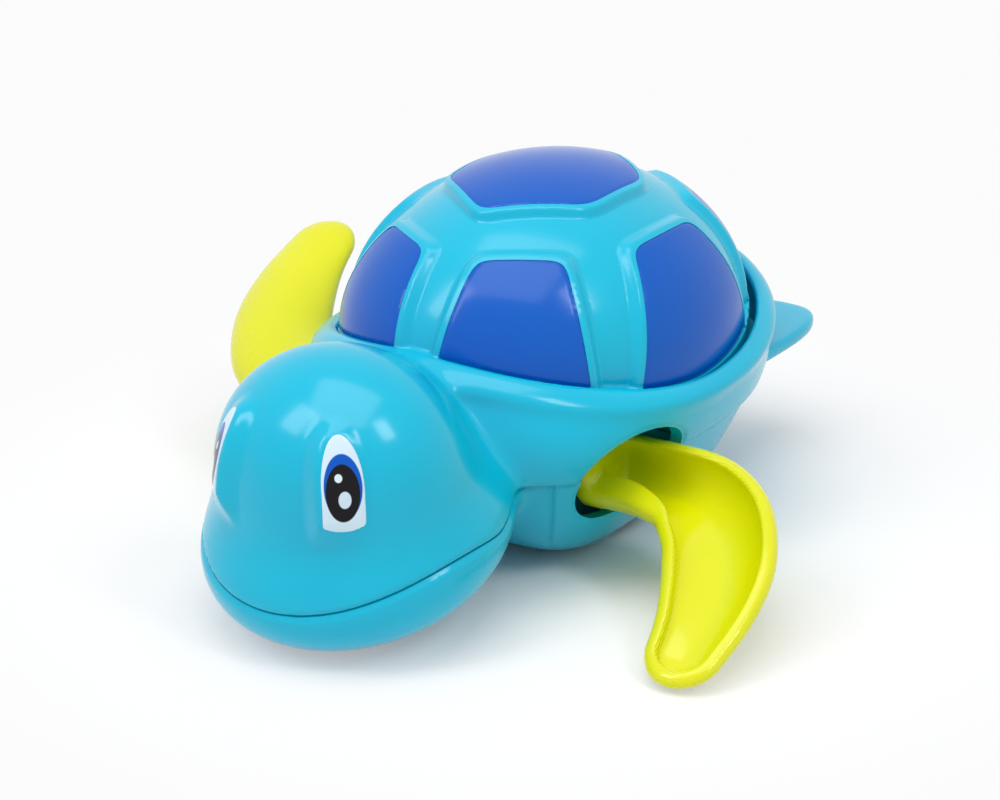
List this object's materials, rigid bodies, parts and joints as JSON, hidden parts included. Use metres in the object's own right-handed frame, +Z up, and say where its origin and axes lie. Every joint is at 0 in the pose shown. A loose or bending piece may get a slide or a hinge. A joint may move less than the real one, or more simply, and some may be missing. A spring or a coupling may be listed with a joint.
{
  "type": "wind-up bath toy",
  "caption": "Wind-up swimming turtle bath toy with a domed scute shell and scoop flippers turned by a clockwork motor.",
  "frame": {"origin": "middle of the flat that the hull rests on", "axes": "-Y is the way the turtle faces, +X is its own left, +Z is up"},
  "size_m": [0.1148, 0.1245, 0.0571],
  "materials": {
    "teal_plastic": "glossy moulded, pool blue",
    "blue_plastic": "glossy moulded, royal blue",
    "lime_plastic": "glossy moulded, yellow-green",
    "eye_print": "glossy white with a printed blue and black eye",
    "motor_plastic": "moulded off-white",
    "gear_plastic": "moulded natural white",
    "steel": "bright drawn and rolled steel",
    "spring_steel": "blued strip",
    "brass": "turned"
  },
  "bodies": {
    "turtle_body": {"upper_body": "teal_plastic", "lower_hull": "teal_plastic", "carapace": "teal_plastic", "scute_top": "blue_plastic", "scute_front_left": "blue_plastic", "scute_front_right": "blue_plastic", "scute_side_left": "blue_plastic", "scute_side_right": "blue_plastic", "scute_rear_left": "blue_plastic", "scute_rear_right": "blue_plastic", "left_eye": "eye_print", "right_eye": "eye_print", "idler_shaft": "steel", "mainspring": "spring_steel", "motor_case_left": "motor_plastic", "motor_case_right": "motor_plastic", "left_axle_bush": "brass", "right_axle_bush": "brass", "motor_screw_front": "steel", "motor_screw_rear": "steel", "jaw_screw": "steel", "left_front_screw": "steel", "right_front_screw": "steel", "left_rear_screw": "steel", "right_rear_screw": "steel"},
    "flipper_drive": {"output_axle": "steel", "axle_pinion": "gear_plastic", "left_flipper": "lime_plastic", "right_flipper": "lime_plastic"},
    "idler": {"idler_gear": "gear_plastic"},
    "winding_arbor": {"spring_gear": "gear_plastic", "spring_arbor": "brass"}
  },
  "joints": [
    {"name": "flippers_turn", "type": "hinge", "parent": "turtle_body", "child": "flipper_drive", "pos_m": [0, -0.016, 0.0171], "axis": [1, 0, 0], "continuous": true},
    {"name": "idler_turn", "type": "hinge", "parent": "turtle_body", "child": "idler", "pos_m": [0, -0.00248, 0.0156], "axis": [1, 0, 0], "continuous": true},
    {"name": "winding_turn", "type": "hinge", "parent": "turtle_body", "child": "winding_arbor", "pos_m": [0, 0.01032, 0.0156], "axis": [1, 0, 0], "continuous": true}
  ],
  "couplings": [
    {"joint": "idler_turn", "follows": "flippers_turn", "ratio": -0.41667},
    {"joint": "winding_turn", "follows": "flippers_turn", "ratio": 0.13889}
  ]
}
